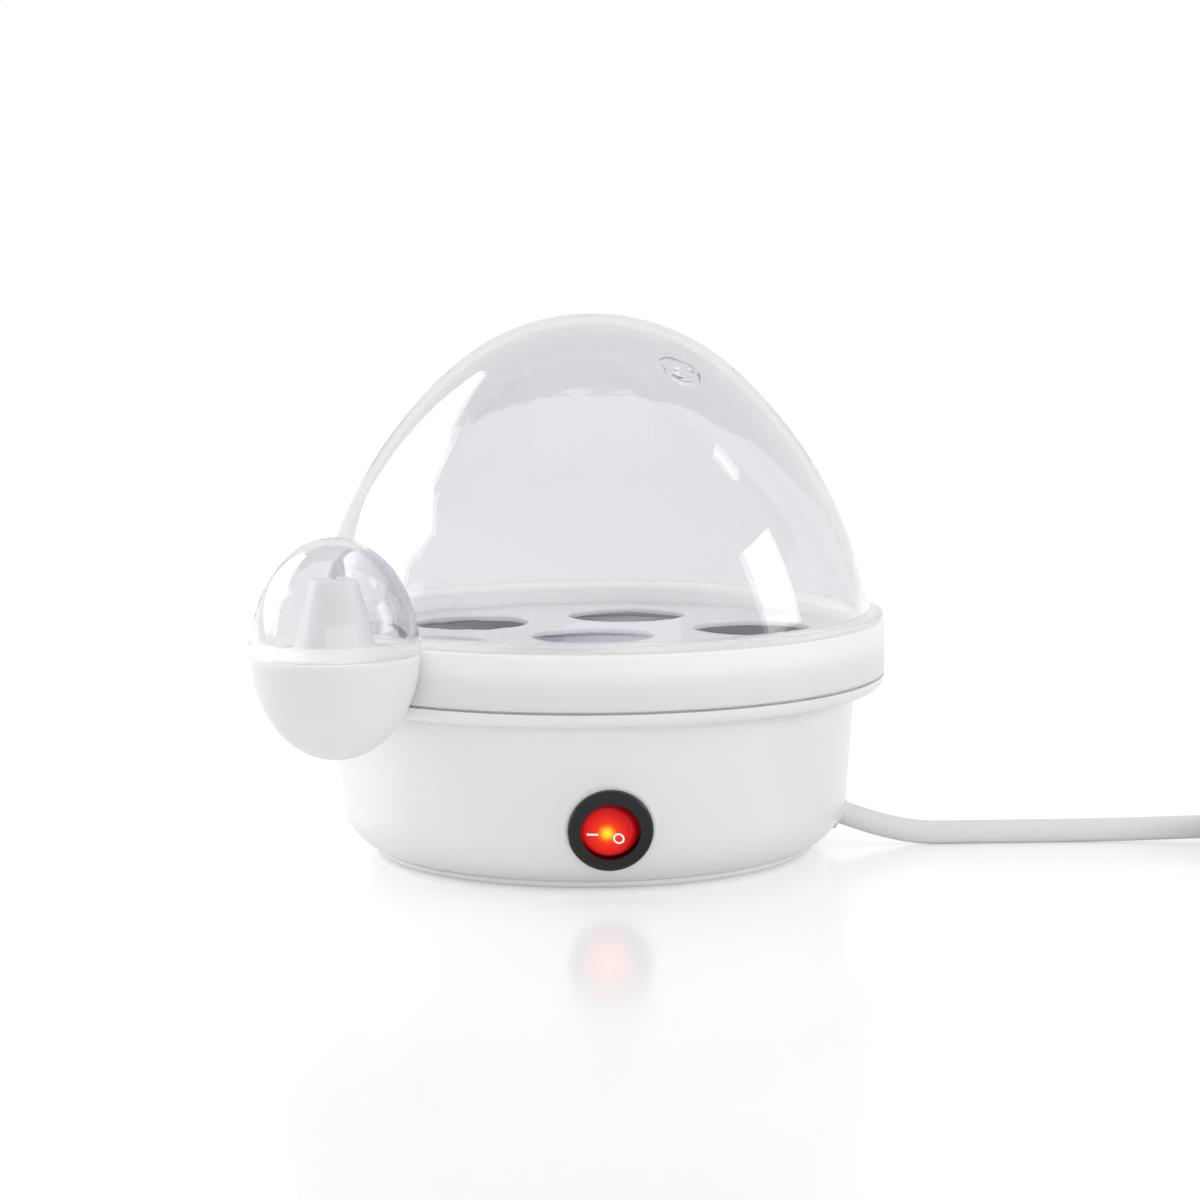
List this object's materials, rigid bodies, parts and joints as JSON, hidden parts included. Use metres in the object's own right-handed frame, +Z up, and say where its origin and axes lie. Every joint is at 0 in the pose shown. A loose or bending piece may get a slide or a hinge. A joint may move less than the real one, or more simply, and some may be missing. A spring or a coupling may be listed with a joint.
{
  "type": "egg cooker",
  "caption": "Electric egg cooker: round white base with a lit rocker switch, heating dish, egg tray with a half-egg grip and piercer, and a clear egg-shaped lid.",
  "frame": {"origin": "on the axis of the base, level with the table under the feet", "axes": "+Z up along the axis of the dome, switch facing -Y, mains lead leaving towards +X"},
  "size_m": [0.3915, 0.1835, 0.1544],
  "materials": {
    "white_plastic": "smooth, slightly glossy",
    "clear_plastic": "clear, polished",
    "coated_dish": "dark non-stick coat",
    "aluminium": "satin",
    "steel": "plain",
    "element_steel": "dull, heat-tinted",
    "brass": "plain",
    "needle_steel": "bright",
    "silicone": "matt",
    "foot_rubber": "matt",
    "black_plastic": "fine satin",
    "brown_plastic": "moulded",
    "red_lens": "translucent red",
    "lamp_glass": "glowing",
    "cord_sheath": "matt",
    "plug_plastic": "satin",
    "tie_plastic": "satin",
    "wire_brown": "matt",
    "wire_blue": "matt",
    "wire_green": "matt",
    "sleeve_weave": "woven glass fibre",
    "fuse_metal": "plain"
  },
  "bodies": {
    "base": {"base_housing": "white_plastic", "bottom_cover": "white_plastic", "cover_screws": "steel", "rubber_feet": "foot_rubber", "heating_plate": "coated_dish", "plate_seal": "silicone", "heat_spreader": "aluminium", "heating_element": "element_steel", "element_pins": "steel", "plate_studs": "steel", "holding_frame": "steel", "stud_nuts": "steel", "thermostat": "brown_plastic", "thermostat_bracket": "steel", "thermostat_terminals": "brass", "thermal_fuse": "fuse_metal", "fuse_sleeve": "sleeve_weave", "fuse_clip": "steel", "switch_housing": "black_plastic", "switch_terminals": "brass", "cord_bush": "cord_sheath", "cord_lead": "cord_sheath", "cord_coil": "cord_sheath", "coil_tie": "tie_plastic", "plug_body": "plug_plastic", "plug_pins": "brass", "plug_earth_contacts": "brass", "wire_live": "wire_brown", "wire_switched": "wire_brown", "wire_element": "wire_brown", "wire_neutral": "wire_blue", "wire_fuse": "wire_blue", "wire_earth": "wire_green"},
    "tray": {"egg_tray": "white_plastic", "piercer_plate": "white_plastic", "piercer_needle": "needle_steel"},
    "lid": {"lid_dome": "clear_plastic"},
    "rocker": {"switch_rocker": "red_lens", "switch_lamp": "lamp_glass"}
  },
  "joints": [
    {"name": "tray_lift", "type": "slide", "parent": "base", "child": "tray", "axis": [0, 0, 1], "range_m": [0, 0.08]},
    {"name": "lid_lift", "type": "slide", "parent": "tray", "child": "lid", "axis": [0, 0, 1], "range_m": [0, 0.1]},
    {"name": "switch_rock", "type": "hinge", "parent": "base", "child": "rocker", "pos_m": [0, -0.06881, 0.01957], "axis": [0, -0.2164, 0.9763], "range_deg": [0, 20]}
  ]
}
